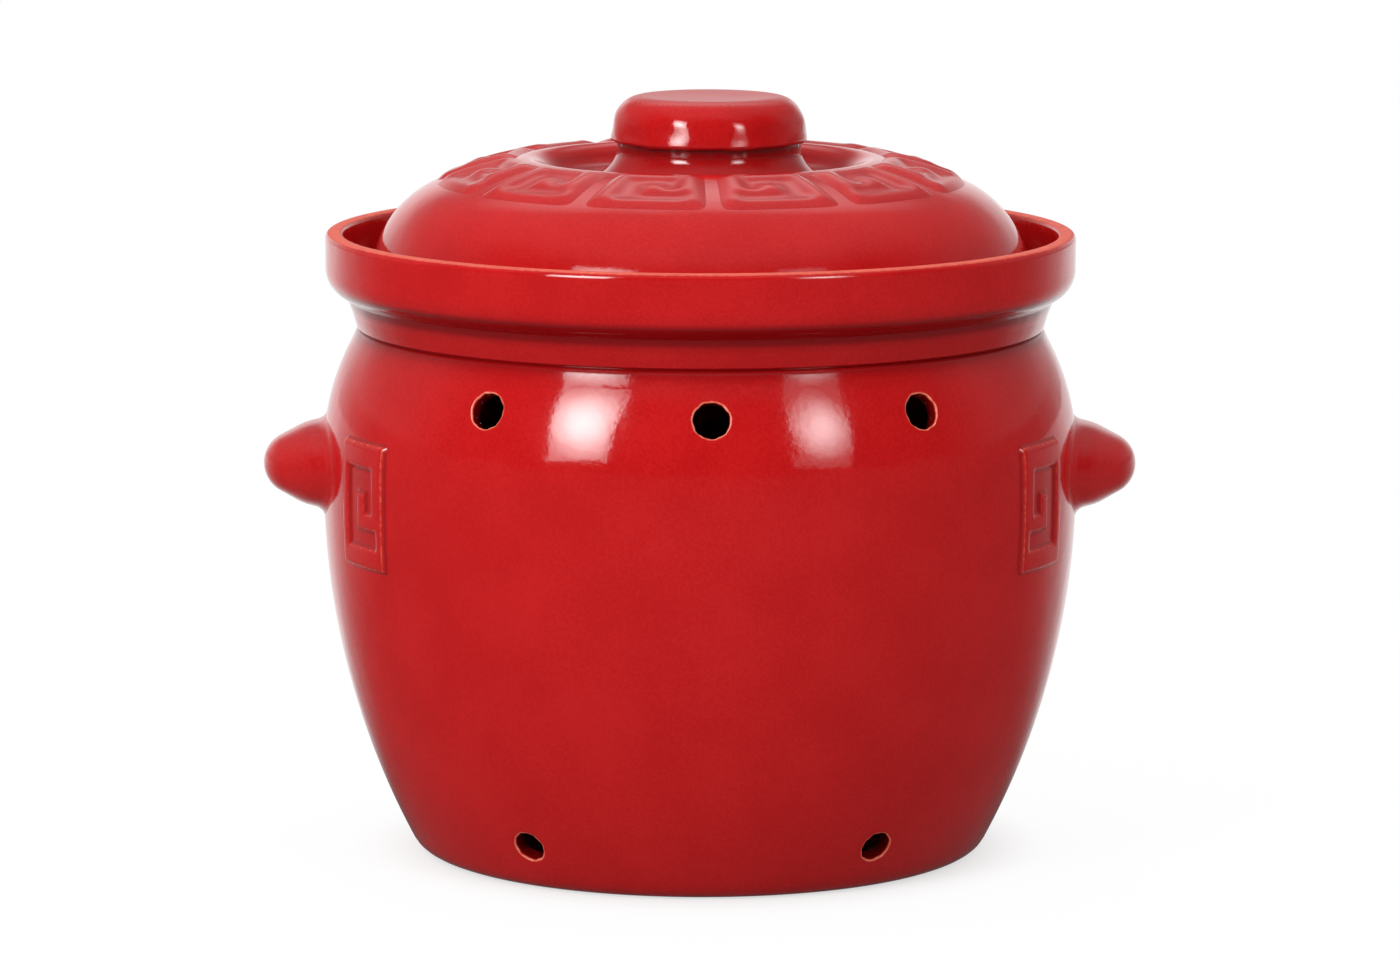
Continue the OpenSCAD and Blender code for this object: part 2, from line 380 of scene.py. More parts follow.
@dataclass(frozen=True)
class RedGlaze:
    """Glossy red glaze on stoneware, thin on edges, darker where it pools and where shade is
    painted in, wiped off the feet.
    """

    body: Colour = (0.52, 0.009, 0.010)
    fleck: Colour = (0.46, 0.006, 0.007)
    # Dark colour of pooled glaze, also used as painted shade.
    deep_and_shaded: Colour = (0.145, 0.001, 0.002)
    orange: Colour = (0.86, 0.115, 0.046)
    pale: Colour = (0.78, 0.34, 0.24)
    clay: Colour = (0.52, 0.33, 0.20)
    clay_dark: Colour = (0.40, 0.24, 0.14)
    gloss: float = 0.07
    mottled: float = 0.03
    thinned: float = 0.45
    dulled: float = 0.40
    clay_gloss: float = 0.72
    ior: float = 1.6
    speck_scale: float = 900.0
    cloud_scale: float = 38.0
    ragged_scale: float = 480.0
    ragged_by: float = 0.38
    peel_scale: float = 430.0
    peel: float = 0.000030
    ripple_scale: float = 52.0
    ripple: float = 0.00022
    pooled_and_shaded: float = 0.85
    mottle_span: Span = (0.38, 0.62)
    thin_span: Span = (0.25, 0.75)
    bare_span: Span = (0.45, 0.60)
    pale_span: Span = (0.8, 1.0)

    def material(self) -> Material:
        """Builds the finish.

        Returns:
            The new material.
        """
        made = bpy.data.materials.new(SLOT)
        made.use_nodes = True
        g = Graph(made.node_tree)
        speck = g.noise(self.speck_scale, 3.0)
        cloud = g.noise(self.cloud_scale, 3.0)
        mottle = (speck * 0.6 + cloud * 0.4).ease(*self.mottle_span)
        ragged = (g.noise(self.ragged_scale, 3.0) - 0.5) * self.ragged_by
        thin = (g.coat(Coat.THIN) + ragged).ease(*self.thin_span)
        # Painted shade and pooled glaze: this mask darkens the red towards the dark colour.
        pool = g.coat(Coat.POOL)
        bare = (g.coat(Coat.BARE) + ragged).ease(*self.bare_span)
        red = g.blend(pool * self.pooled_and_shaded, g.blend(mottle, self.fleck, self.body), self.deep_and_shaded)
        edge = g.blend(thin.ease(*self.pale_span, "LINEAR"), self.orange, self.pale)
        colour = g.blend(bare, g.blend(thin, red, edge),
                         g.blend(speck, self.clay_dark, self.clay))
        rough = (self.gloss + mottle * self.mottled + thin * self.thinned
                 + g.coat(Coat.DULL) * self.dulled + bare * (self.clay_gloss - self.gloss))
        relief = (g.noise(self.peel_scale, 2.0) * self.peel
                  + g.noise(self.ripple_scale, 1.0) * self.ripple
                  + bare * speck * (4.0 * self.peel))
        bump = g.add("ShaderNodeBump", None, {"Strength": 1.0, "Distance": 1.0, "Height": relief})
        shader = g.add("ShaderNodeBsdfPrincipled", None,
                       {"Base Color": colour, "Roughness": rough, "Normal": bump, "IOR": self.ior})
        g.add("ShaderNodeOutputMaterial", None, {"Surface": shader})
        return made


@dataclass
class Vent:
    """Round hole through the wall, square to it."""

    degrees: float
    height: float
    diameter: float


@dataclass(frozen=True)
class BoreStep:
    """Ring of points down a vent: depth, how much wider it is, thin glaze, and pooled glaze with
    painted shade.
    """

    depth: float
    wider: float
    thin: float
    pool: float


@dataclass
class PotWall:
    """Thrown wall of the pot, with its floor, foot ring and vents."""

    finish: Material
    belly_r: float = 141.0
    belly_z: float = 138.0
    belly_band: float = 12.0
    belly_arc: float = 286.0
    shoulder_arc: float = 87.0
    neck_z: float = 196.5
    neck_out: float = 127.9
    flick_h: float = 5.0
    flick_r: float = 28.0
    flick_a: float = 9.0
    wall: float = 6.5
    floor_t: float = 8.5
    floor_round: float = 12.0
    foot_round: float = 9.5
    foot_ring: float = 11.0
    foot_hollow: float = 2.5
    upper_vent: Vent = field(default_factory=lambda: Vent(35.0, 180.0, 13.4))
    lower_vent: Vent = field(default_factory=lambda: Vent(33.5, 17.5, 12.0))
    middle_off: float = 0.9
    columns: int = 360
    hole_cells: int = 4
    warp_cells: int = 7
    warp_share: float = 0.8
    cell: float = 2.3
    lip: float = 0.9
    lip_reach: float = 2.5
    lip_thin: float = 0.15
    lip_waver: float = 0.13
    # Pooled glaze and painted shade below the groove, as (share, reach below the groove).
    neck_pool_shades: tuple[Point, ...] = ((0.25, 9.0), (0.45, 3.0))

    def __post_init__(self) -> None:
        """Works out the centres of the wall's two curves."""
        self.belly_c = (self.belly_r - self.belly_arc, self.belly_z)
        self.shoulder_c = (self.belly_r - self.shoulder_arc, self.belly_z + self.belly_band)

    def lean(self, z: float) -> float:
        """Angle in radians by which the outer face looks up at a height."""
        low, high = (z - self.belly_z) / self.belly_arc, z - self.shoulder_c[1]
        return math.asin(low if z < self.belly_z else max(0.0, high) / self.shoulder_arc)

    def section(self, z: float, off: float = 0.0) -> Point:
        """Finds a place on the wall's half section.

        Args:
            z: Height on the outer face.
            off: How far the place stands off that face.

        Returns:
            The place's radius and height.
        """
        a = self.lean(z)
        low = z < self.belly_z
        centre = self.belly_c if low else self.shoulder_c
        radius = self.belly_arc if low else self.shoulder_arc
        level = z if self.belly_z <= z <= self.shoulder_c[1] else centre[1] + radius * math.sin(a)
        return centre[0] + radius * math.cos(a) + off * math.cos(a), level + off * math.sin(a)

    def point(self, degrees: float, z: float, off: float = 0.0) -> Vector:
        """Place that stands off the outer face at an angle and height, in millimetres."""
        r, height = self.section(z, off)
        return polar(r, degrees, height)

    def corner(self, radius: float, level: float, rounding: float) -> tuple[Point, float]:
        """Fits a rounding between a level and a curve round the belly's centre.

        Args:
            radius: Radius of the curve.
            level: Height of the level.
            rounding: Radius of the rounding.

        Returns:
            The rounding's middle, and the angle where it meets the curve.
        """
        rise = self.belly_z - level - rounding
        across = math.sqrt((radius - rounding) ** 2 - rise ** 2)
        return ((self.belly_c[0] + across, level + rounding),
                -math.degrees(math.asin(rise / (radius - rounding))))

    def outline(self) -> list[Point]:
        """Draws the half section from the middle of the foot to the middle of the floor.

        Returns:
            Its points, radius and height.
        """
        foot, foot_a = self.corner(self.belly_arc, 0.0, self.foot_round)
        inner = self.belly_arc - self.wall
        floor, floor_a = self.corner(inner, self.floor_t, self.floor_round)
        ring = foot[0] - self.foot_ring
        rise = self.neck_z - self.shoulder_c[1]
        tight = self.shoulder_arc - self.wall
        shape = Outline().to(0.0, self.foot_hollow).to(ring - 1.0, self.foot_hollow, 1.0)
        shape.to(ring, 0.0, 0.8).arc(foot, self.foot_round, -90.0, foot_a)
        shape.arc(self.belly_c, self.belly_arc, foot_a, 0.0, 0.15)
        top_a = math.degrees(math.asin((rise - self.flick_h) / self.shoulder_arc))
        flick_c = onward(self.shoulder_c, self.shoulder_arc + self.flick_r, top_a)
        shape.arc(self.shoulder_c, self.shoulder_arc, 0.0, top_a, 0.5)
        shape.arc(flick_c, self.flick_r, 180.0 + top_a, 180.0 + top_a - self.flick_a, 1.0)
        shape.to(self.neck_out, self.neck_z, 0.5)
        shape.arc(self.shoulder_c, tight, math.degrees(math.asin(rise / tight)), 0.0, 0.5)
        shape.arc(self.belly_c, inner, 0.0, floor_a, 0.15)
        shape.arc(floor, self.floor_round, floor_a, -90.0).to(0.0, self.floor_t)
        return shape.line(0.5)

    def vents(self) -> list[Vent]:
        """Lists the vents.

        Returns:
            Those in front and then those at the rear.
        """
        high, low = self.upper_vent, self.lower_vent
        spots = ((self.middle_off, high), (-high.degrees, high), (high.degrees, high),
                 (-low.degrees, low), (low.degrees, low))
        return [Vent(side + off, kind.height, kind.diameter)
                for side in (0.0, 180.0) for off, kind in spots]

    def build(self) -> None:
        """Builds the wall from one grid that is bent round, pierced and closed."""
        track = Track(self.outline())
        zones = [track.near(self.section(v.height, -depth), half)
                 for v in (self.lower_vent, self.upper_vent)
                 for half, depth in enumerate((0.0, self.wall))]
        rows = track.rows(sorted(zones), self.warp_cells, self.cell)
        bm = bmesh.new()
        bmesh.ops.create_grid(bm, x_segments=self.columns, y_segments=len(rows) - 1, size=1.0)
        dead = self._bend(bm, track, rows)
        bmesh.ops.delete(bm, geom=dead, context="VERTS")
        bmesh.ops.remove_doubles(bm, verts=bm.verts, dist=1e-6)
        bmesh.ops.recalc_face_normals(bm, faces=bm.faces)
        lay(bm, Coat.THIN, lambda p: 0.0)
        lay(bm, Coat.POOL, self._pool_and_shade)
        lay(bm, Coat.BARE, lambda p: float(p.z < 0.25))
        for vent in self.vents():
            self._bore(bm, vent)
        bmesh.ops.recalc_face_normals(bm, faces=bm.faces)
        place(bm, "pot_wall", Body.POT, ["pot_body"], self.finish)

    def _pool_and_shade(self, p: Vector) -> float:
        """How deep the glaze lies towards the groove, with painted shade under the rim's overhang.
        """
        return sum(share * ease(self.neck_z - below, self.neck_z - 1.0, p.z)
                   for share, below in self.neck_pool_shades)

    def _bend(self, bm: BMesh, track: "Track",
              rows: Sequence[float]) -> list[BMVert]:
        """Bends the flat grid into the wall and draws circles round the vents.

        Args:
            bm: The flat grid.
            track: The wall's half section.
            rows: Way along the section of each row of the grid.

        Returns:
            The points inside the vents, which are to be deleted.
        """
        turn_step = 360.0 / self.columns
        holes = []
        for vent in self.vents():
            for half, depth in enumerate((0.0, self.wall)):
                way = track.near(self.section(vent.height, -depth), half)
                row = min(range(len(rows)), key=lambda j: abs(rows[j] - way))
                holes.append((vent.degrees, way, round(vent.degrees / turn_step), row,
                              0.5 * vent.diameter + self.lip))
        dead = []
        for v in bm.verts:
            i = round((v.co.x + 1.0) * 0.5 * self.columns) - self.columns // 4
            j = round((v.co.y + 1.0) * 0.5 * (len(rows) - 1))
            degrees, way = i * turn_step, rows[j]
            for at, along, column, row, radius in holes:
                di = (i - column + self.columns // 2) % self.columns - self.columns // 2
                dj = j - row
                ring = max(abs(di), abs(dj))
                if ring < self.hole_cells:
                    dead.append(v)
                elif ring < self.warp_cells:
                    scale = math.radians(1.0) * track.at(way)[0]
                    off = (degrees - at + 180.0) % 360.0 - 180.0
                    share = ease(self.warp_cells, self.hole_cells, ring)
                    angle = square_angle(di / ring, dj / ring)
                    reach = radius + (ring - self.hole_cells) * self.warp_share * self.cell
                    degrees = at + off + share * (reach * math.cos(angle) / scale - off)
                    way += share * (along + reach * math.sin(angle) - way)
            r, z = track.at(way)
            v.co = polar(r, degrees, z) * MM
        return dead

    def _bore(self, bm: BMesh, vent: Vent) -> None:
        """Lines a vent from its outer hole to its inner one, with rounded lips.

        Args:
            bm: The pierced wall.
            vent: The vent.
        """
        thin, pool = (bm.verts.layers.float[c.value] for c in (Coat.THIN, Coat.POOL))
        middle = self.point(vent.degrees, vent.height) * MM
        axis = (middle - self.point(vent.degrees, vent.height, -self.wall) * MM).normalized()
        across = axis.cross(Vector((0.0, 0.0, 1.0))).normalized()
        radius = 0.5 * vent.diameter
        loops = []
        for depth in (0.0, self.wall):
            centre = self.point(vent.degrees, vent.height, -depth) * MM
            near = (radius + self.lip_reach) * MM
            loops.append([e for e in bm.edges if e.is_boundary
                          and all((v.co - centre).length < near for v in e.verts)])
        loop = loops[0]
        for v in {v for e in loop for v in e.verts}:
            v[thin] = self.lip_thin
        # Rings deeper down the bore are darkened as painted shade inside the hole, along with
        # pooled glaze.
        for step in (BoreStep(0.20, 0.30, 0.70, 0.0), BoreStep(0.7, 0.0, 0.45, 0.4),
                     BoreStep(1.4, -0.05, 0.0, 1.0),
                     BoreStep(self.wall - self.lip, 0.0, 0.0, 1.0)):
            verts, loop = pull(bm, loop)
            for v in verts:
                side = v.co - middle
                side -= axis * side.dot(axis)
                a = math.atan2(side.z, side.dot(across))
                waver = self.lip_waver * (math.sin(7 * a) + math.sin(11 * a + 2.0) - 1.0)
                reach = radius + step.wider + waver * ease(1.6, 0.7, step.depth)
                v.co = middle - axis * (step.depth * MM) + side.normalized() * (reach * MM)
                v[thin], v[pool] = step.thin, step.pool
        bmesh.ops.bridge_loops(bm, edges=loop + loops[1])


def square_angle(a: float, b: float) -> float:
    """Turns a place on a square into an angle, evenly spread along the sides.

    Args:
        a: The place across, from -1 to 1.
        b: The place up, from -1 to 1.

    Returns:
        The angle in radians.
    """
    quarter = math.pi / 4.0
    if abs(a) >= abs(b):
        return b * quarter if a > 0 else math.pi - b * quarter
    return math.pi / 2.0 - a * quarter if b > 0 else -math.pi / 2.0 + a * quarter


class Track:
    """A line of points that is measured by the way along it."""

    SHORT, LONG, LAST, BEND, PROBE = 0.5, 4.0, 0.4, 0.12, 0.3

    def __init__(self, line: Sequence[Point]) -> None:
        """Adds up the way along a line of points."""
        self.line = [Vector(p) for p in line]
        self.way = [0.0, *accumulate((b - a).length for a, b in zip(self.line, self.line[1:]))]

    def at(self, way: float) -> Point:
        """Finds a place on the line.

        Args:
            way: Way along the line.

        Returns:
            Radius and height there.
        """
        way = min(max(way, 0.0), self.way[-1])
        k = min(bisect_right(self.way, way) - 1, len(self.line) - 2)
        share = (way - self.way[k]) / max(self.way[k + 1] - self.way[k], 1e-9)
        return tuple(self.line[k].lerp(self.line[k + 1], share))

    def near(self, point: Point, half: int) -> float:
        """Way along the line to the place nearest to a point, on its half 0 or 1."""
        span = range(*(0, len(self.line) // 2, len(self.line))[half:half + 2])
        return self.way[min(span, key=lambda k: (self.line[k] - Vector(point)).length)]

    def rows(self, zones: Sequence[float], cells: int, cell: float) -> list[float]:
        """Ways along the line for the rows of a grid.

        Args:
            zones: Ways round which the rows are evenly spaced.
            cells: Number of even cells to each side of a zone's middle.
            cell: Their size.

        Returns:
            The ways in order, dense where the line bends.
        """
        made: list[float] = []
        last = 0.0
        for middle in [*zones, None]:
            end = self.way[-1] if middle is None else middle - cells * cell
            made += self._between(last, end)
            if middle is not None:
                made += [middle + k * cell for k in range(-cells, cells)]
                last = middle + cells * cell
        return made + [self.way[-1]]

    def _between(self, start: float, end: float) -> list[float]:
        """Spaces rows out, closer where the line bends.

        Args:
            start: Way of the first row.
            end: Way that the rows stop short of.

        Returns:
            The ways in order.
        """
        made, way = [], start
        while way < end - self.LAST:
            made.append(way)
            ahead = self.SHORT
            heading = self._heading(way)
            while (ahead < self.LONG
                   and abs(self._heading(way + ahead).angle_signed(heading)) < self.BEND):
                ahead += self.SHORT
            way += ahead
        return made

    def _heading(self, way: float) -> Vector:
        """Direction of the line at a way along it."""
        ahead, behind = (Vector(self.at(way + k * self.PROBE)) for k in (1, -1))
        return (ahead - behind).normalized()


@dataclass
class Rim:
    """Collar above the groove, flared out to the guttered rim, and the upstand round the mouth."""

    finish: Material
    neck_r: float = 127.5
    neck_in: float = 119.7
    neck_z: float = 196.5
    collar_r: float = 132.0
    collar_z: float = 208.2
    rim_r: float = 140.0
    rim_z: float = 232.5
    rim_t: float = 6.6
    rim_round: float = 11.0
    rim_turn: float = 5.8
    rim_end: float = -60.0
    gutter_z: float = 213.5
    mouth_r: float = 107.5
    mouth_t: float = 6.0
    mouth_h: float = 10.0
    wall: float = 6.5
    groove: tuple[tuple[float, float, float], ...] = (
        (-0.5, 0.0, 0.2), (-0.3, 0.7, 0.2), (0.9, 1.0, 0.5), (2.4, 6.2, 8.0))
    edge_round: float = 1.5
    hollow_round: float = 4.0
    top_rounds: Span = (2.2, 1.8)
    gutter_lean: float = 0.6
    mouth_sunk: float = 0.8
    mouth_lean: float = 0.4
    mouth_round: float = 2.6
    # Painted shade of the rim's overhang on the collar, over a little pooled glaze.
    flare_pool_shade: float = 0.2
    flare_spans: tuple[Span, Span] = ((-4.6, -1.4), (3.6, 6.8))
    top_thin: float = 0.54
    inner_thin: float = 0.38
    top_dull: float = 0.6
    # Pooled glaze with painted shade in the groove's crease.
    groove_pool_shade: float = 0.6
    mouth_thin: float = 0.7

    def build(self) -> None:
        """Builds the rim with its collar, and the upstand."""
        self._band()
        self._upstand()

    def _band(self) -> None:
        """Builds the rim and its collar from the groove up, over the top and down the gutter."""
        gutter = self.rim_r - self.rim_t
        under = self.gutter_z - self.wall
        shape = Outline().to(self.neck_in, self.neck_z)
        for out, up, rounding in self.groove:
            shape.to(self.neck_r + out, self.neck_z + up, rounding)
        shape.to(self.collar_r, self.collar_z, self.edge_round)
        shape.arc((self.rim_r - self.rim_round, self.gutter_z + self.rim_turn), self.rim_round,
                  self.rim_end, 0.0)
        for radius, rounding in zip((self.rim_r, gutter), self.top_rounds):
            shape.to(radius, self.rim_z, rounding)
        shape.to(gutter - self.gutter_lean, self.gutter_z, self.hollow_round)
        shape.to(self.mouth_r, self.gutter_z, 0.4).to(self.mouth_r, under, self.edge_round)
        shape.to(self.collar_r - 1.3 * self.wall, under, self.hollow_round)
        bm = turn(shape.line(2.5, closed=True), closed=True, steps=300)
        lay(bm, Coat.THIN, self._thin)
        lay(bm, Coat.DULL,
            lambda p: self.top_dull * ease(self.rim_z - 0.9, self.rim_z - 0.2, p.z))
        lay(bm, Coat.POOL, self._pool_and_shade)
        place(bm, "rim_and_collar", Body.POT, ["neck_collar", "rim_band"], self.finish)

    def _upstand(self) -> None:
        """Builds the upstand round the mouth."""
        top = self.gutter_z + self.mouth_h
        out = self.mouth_r + self.mouth_t
        foot = self.gutter_z - self.mouth_sunk
        ring = Outline().to(self.mouth_r, foot).to(out + 0.6, foot)
        ring.to(out, self.gutter_z + 1.0, 1.0)
        for radius in (out - self.mouth_lean, self.mouth_r):
            ring.to(radius, top, self.mouth_round)
        bm = turn(ring.line(2.0, closed=True), closed=True)
        lay(bm, Coat.THIN, lambda p: self.mouth_thin * ease(top - 1.4, top - 0.2, p.z))
        place(bm, "mouth_upstand", Body.POT, ["mouth_ring"], self.finish)

    def _thin(self, p: Vector) -> float:
        """How thin the glaze lies on the rim's top and high on its inner side."""
        inner = self.inner_thin * float(math.hypot(p.x, p.y) < self.rim_r - self.rim_t + 1.0)
        return max(self.top_thin * ease(self.rim_z - 1.1, self.rim_z - 0.2, p.z),
                   inner * ease(self.rim_z - 9.0, self.rim_z, p.z))

    def _pool_and_shade(self, p: Vector) -> float:
        """Says how deep the glaze lies in the groove, and paints the shade that the rim's overhang
        casts on the collar.

        Args:
            p: Place in millimetres.

        Returns:
            Pooled glaze and painted shade, from 0 to 1.
        """
        if math.hypot(p.x, p.y) < self.neck_in + 2.0:
            return 0.0
        # Groove: pooled glaze darkened further as painted shade.
        groove = self.groove_pool_shade * (1.0 - ease(0.2, 1.6, p.z - self.neck_z))
        # Band under the rim: painted shade where the overhang falls on the collar.
        start, end = (ease(*span, p.z - self.collar_z) for span in self.flare_spans)
        return max(groove, (self.flare_pool_shade + (1.0 - self.flare_pool_shade) * start) * (1.0 - end))


@dataclass
class Lug:
    """Ear-shaped handle that grows out of the wall."""

    finish: Material
    wall: PotWall
    hand: Hand
    out: float = 22.5
    mid_z: float = 145.0
    root_h: float = 16.6
    root_w: float = 35.0
    tip_r: float = 11.5
    tip_end: float = 30.0
    cheek_in: float = 2.0
    cheek_out: float = 0.36
    cheek_round: float = 20.0
    sunk: float = 0.15
    under: float = 2.0
    slim: float = 0.10
    square: float = 2.2
    fillet: float = 4.5
    skirt: float = 6.5
    dull: float = 0.22

    def build(self) -> None:
        """Builds the lug as a turned bullet, widened along the wall and set on it."""
        hem = self.root_h + self.skirt
        shape = Outline().arc((0.0, self.out - self.tip_r), self.tip_r, 90.0, self.tip_end, 4.0)
        shape.to(self.root_h - self.cheek_in, self.cheek_out * self.out, self.cheek_round)
        shape.to(self.root_h, -self.sunk, self.fillet).to(hem, -self.sunk, 0.05)
        shape.to(hem, -self.under, 0.2).to(0.0, -self.under)
        bm = turn(shape.line(0.9), steps=144)
        for v in bm.verts:
            v.co = self._set(v.co / MM) * MM
        bmesh.ops.recalc_face_normals(bm, faces=bm.faces)
        lay(bm, Coat.DULL, lambda p: self.dull)
        side = self.hand.name.lower()
        place(bm, f"lug_{side}", Body.POT, [f"{side}_lug"], self.finish)

    def _set(self, p: Vector) -> Vector:
        """Moves a point of the turned bullet to its place on the wall.

        Args:
            p: The point, in millimetres.

        Returns:
            Its place on the pot.
        """
        far = math.hypot(p.x, p.y)
        along, up = (p.x / far, p.y / far) if far > 1e-9 else (1.0, 0.0)
        reach = (abs(along / self.root_w) ** self.square
                 + abs(up / self.root_h) ** self.square) ** (-1.0 / self.square)
        wide = reach * min(far / self.root_h, 1.0) + max(far - self.root_h, 0.0)
        y, z = wide * along, self.mid_z + wide * up
        stand = p.z * (1.0 - self.slim * ease(0.0, self.root_w, abs(y)))
        x = math.sqrt(self.wall.section(z)[0] ** 2 - y * y) + stand
        return Vector((self.hand.value * x, y, z))


KEY_LINE: tuple[Point, ...] = (
    (0.85, 0.18), (0.19, 0.18), (0.19, 0.80), (0.76, 0.80), (0.76, 0.45),
    (0.61, 0.45), (0.61, 0.60), (0.42, 0.60), (0.42, 0.32), (0.85, 0.32),
)


def depth_in(polygon: Sequence[Point], x: float, y: float) -> float:
    """Measures how deep a point lies inside a polygon.

    Args:
        polygon: The polygon's corners in order.
        x: The point's place across.
        y: The point's place up.

    Returns:
        Distance to the nearest side, negative outside.
    """
    best, inside = 1e9, False
    for (ax, ay), (bx, by) in zip(polygon, [*polygon[1:], polygon[0]]):
        ex, ey = bx - ax, by - ay
        t = min(1.0, max(0.0, ((x - ax) * ex + (y - ay) * ey) / (ex * ex + ey * ey)))
        best = min(best, math.hypot(x - ax - t * ex, y - ay - t * ey))
        if (ay > y) != (by > y) and x < ax + (y - ay) * ex / ey:
            inside = not inside
    return best if inside else -best


@dataclass
class KeyRelief:
    """Raised panel with a sunk key, laid on a curved form.

    The panel is drawn flat: across is 0 at the side where the key's long run is and 1
    at the other side, up is 0 at the lower or outer edge.
    """

    flat: Callable[[float, float], Point]
    surface: Callable[[float, float, float], Vector]
    thick: float = 1.8
    key_floor: float = 0.4
    edge: float = 1.3
    key_edge: float = 1.5
    toe: float = 0.4
    dip: float = 0.45
    back: float = 0.8
    border: float = 0.035
    cells: tuple[int, int] = (60, 84)
    soften: int = 5
    thin: float = 0.48
    deep_and_shaded: float = 1.0
    dull: float = 0.20
    key: Sequence[Point] = KEY_LINE

    def mesh(self) -> BMesh:
        """Builds the relief.

        Returns:
            A new closed mesh.
        """
        corners = [self.flat(a, b) for a, b in ((0, 0), (1, 0), (1, 1), (0, 1))]
        runs = [self.flat(a, b) for a, b in self.key]
        bm = bmesh.new()
        bmesh.ops.create_grid(bm, x_segments=self.cells[0], y_segments=self.cells[1], size=0.5)
        layers = {c: bm.verts.layers.float.new(c.value) for c in (Coat.THIN, Coat.POOL)}
        spread = 1.0 + 2.0 * self.border
        for v in bm.verts:
            across, up = 0.5 + v.co.x * spread, 0.5 + v.co.y * spread
            x, y = self.flat(across, up)
            slab, key = depth_in(corners, x, y), depth_in(runs, x, y)
            height, v[layers[Coat.THIN]], v[layers[Coat.POOL]] = self._lie(slab, key)
            v.co = self.surface(across, up, height) * MM
        for _ in range(self.soften):
            bmesh.ops.smooth_vert(bm, verts=[v for v in bm.verts if not v.is_boundary],
                                  factor=0.5, use_axis_x=True, use_axis_y=True, use_axis_z=True)
        bmesh.ops.recalc_face_normals(bm, faces=bm.faces)
        lay(bm, Coat.DULL, lambda p: self.dull)
        verts, _ = pull(bm, [e for e in bm.edges if e.is_boundary])
        middle = self.surface(0.5, 0.5, 0.0) * MM
        inwards = (self.surface(0.5, 0.5, -1.0) * MM - middle).normalized()
        for v in verts:
            v.co += inwards * (self.back * MM)
        back = bmesh.ops.holes_fill(bm, edges=[e for e in bm.edges if e.is_boundary], sides=0)
        bmesh.ops.triangulate(bm, faces=back["faces"])
        bmesh.ops.recalc_face_normals(bm, faces=bm.faces)
        return bm

    def _lie(self, slab: float, key: float) -> tuple[float, float, float]:
        """Height of the relief, how thin its glaze lies with painted edge highlights, and its
        pooled glaze with painted shade.

        Args:
            slab: Depth inside the panel's outline.
            key: Depth inside the key's outline.

        Returns:
            Height in millimetres, thin glaze with painted edge highlights, and pooled glaze with
            painted shade.
        """
        raised = ease(-self.toe, self.edge, slab)
        sunk = ease(-0.5 * self.key_edge, 0.5 * self.key_edge, key)
        height = self.thick * raised - (self.thick - self.key_floor) * sunk
        height -= self.dip * ease(0.2, 0.9, -slab)
        # Thin glaze along the slab's edges, which also paints the pale highlight lines there.
        rim = bell(slab, 0.75 * self.edge, 0.45 * self.edge)
        brim = bell(key, -0.45 * self.key_edge, 0.45 * self.key_edge)
        # Recess darkest along its walls: pooled glaze and painted shade.
        pool = sunk * (0.25 + 0.75 * (1.0 - ease(0.3, 1.6, key)))
        # Painted shade in a band round the slab's foot, where it meets the wall.
        foot = bell(slab, -0.3, 0.7)
        return height, self.thin * max(rim, 0.8 * brim), self.deep_and_shaded * max(0.7 * pool, 0.6 * foot)


@dataclass
class Plaques:
    """Four key plaques on the wall beside the lugs."""

    finish: Material
    wall: PotWall
    width: float = 32.0
    height: float = 47.0
    mid_z: float = 139.0
    degrees: float = 61.5

    def build(self) -> None:
        """Builds the plaques, each mirrored from its neighbour."""
        for face in Face:
            for hand in Hand:
                name = f"{face.name.lower()}_{hand.name.lower()}_plaque"
                bm = self._relief(hand, face).mesh()
                place(bm, f"key_{name}", Body.POT, [name], self.finish)

    def _relief(self, hand: Hand, face: Face) -> KeyRelief:
        """Draws the relief of one plaque.

        Args:
            hand: Side of the pot that it is on.
            face: Front or rear.

        Returns:
            The relief, laid on the wall.
        """
        scale = math.degrees(1.0 / self.wall.belly_r)
        centre = self.degrees if face is Face.FRONT else 180.0 - self.degrees
        towards = -face.value

        def flat(across: float, up: float) -> Point:
            """Flat place on the plaque."""
            return (0.5 - across) * self.width, up * self.height

        def surface(across: float, up: float, off: float) -> Vector:
            """Place on the wall."""
            turn_by = centre + towards * (0.5 - across) * self.width * scale
            return self.wall.point(hand.value * turn_by, self.mid_z + (up - 0.5) * self.height, off)

        return KeyRelief(flat, surface)


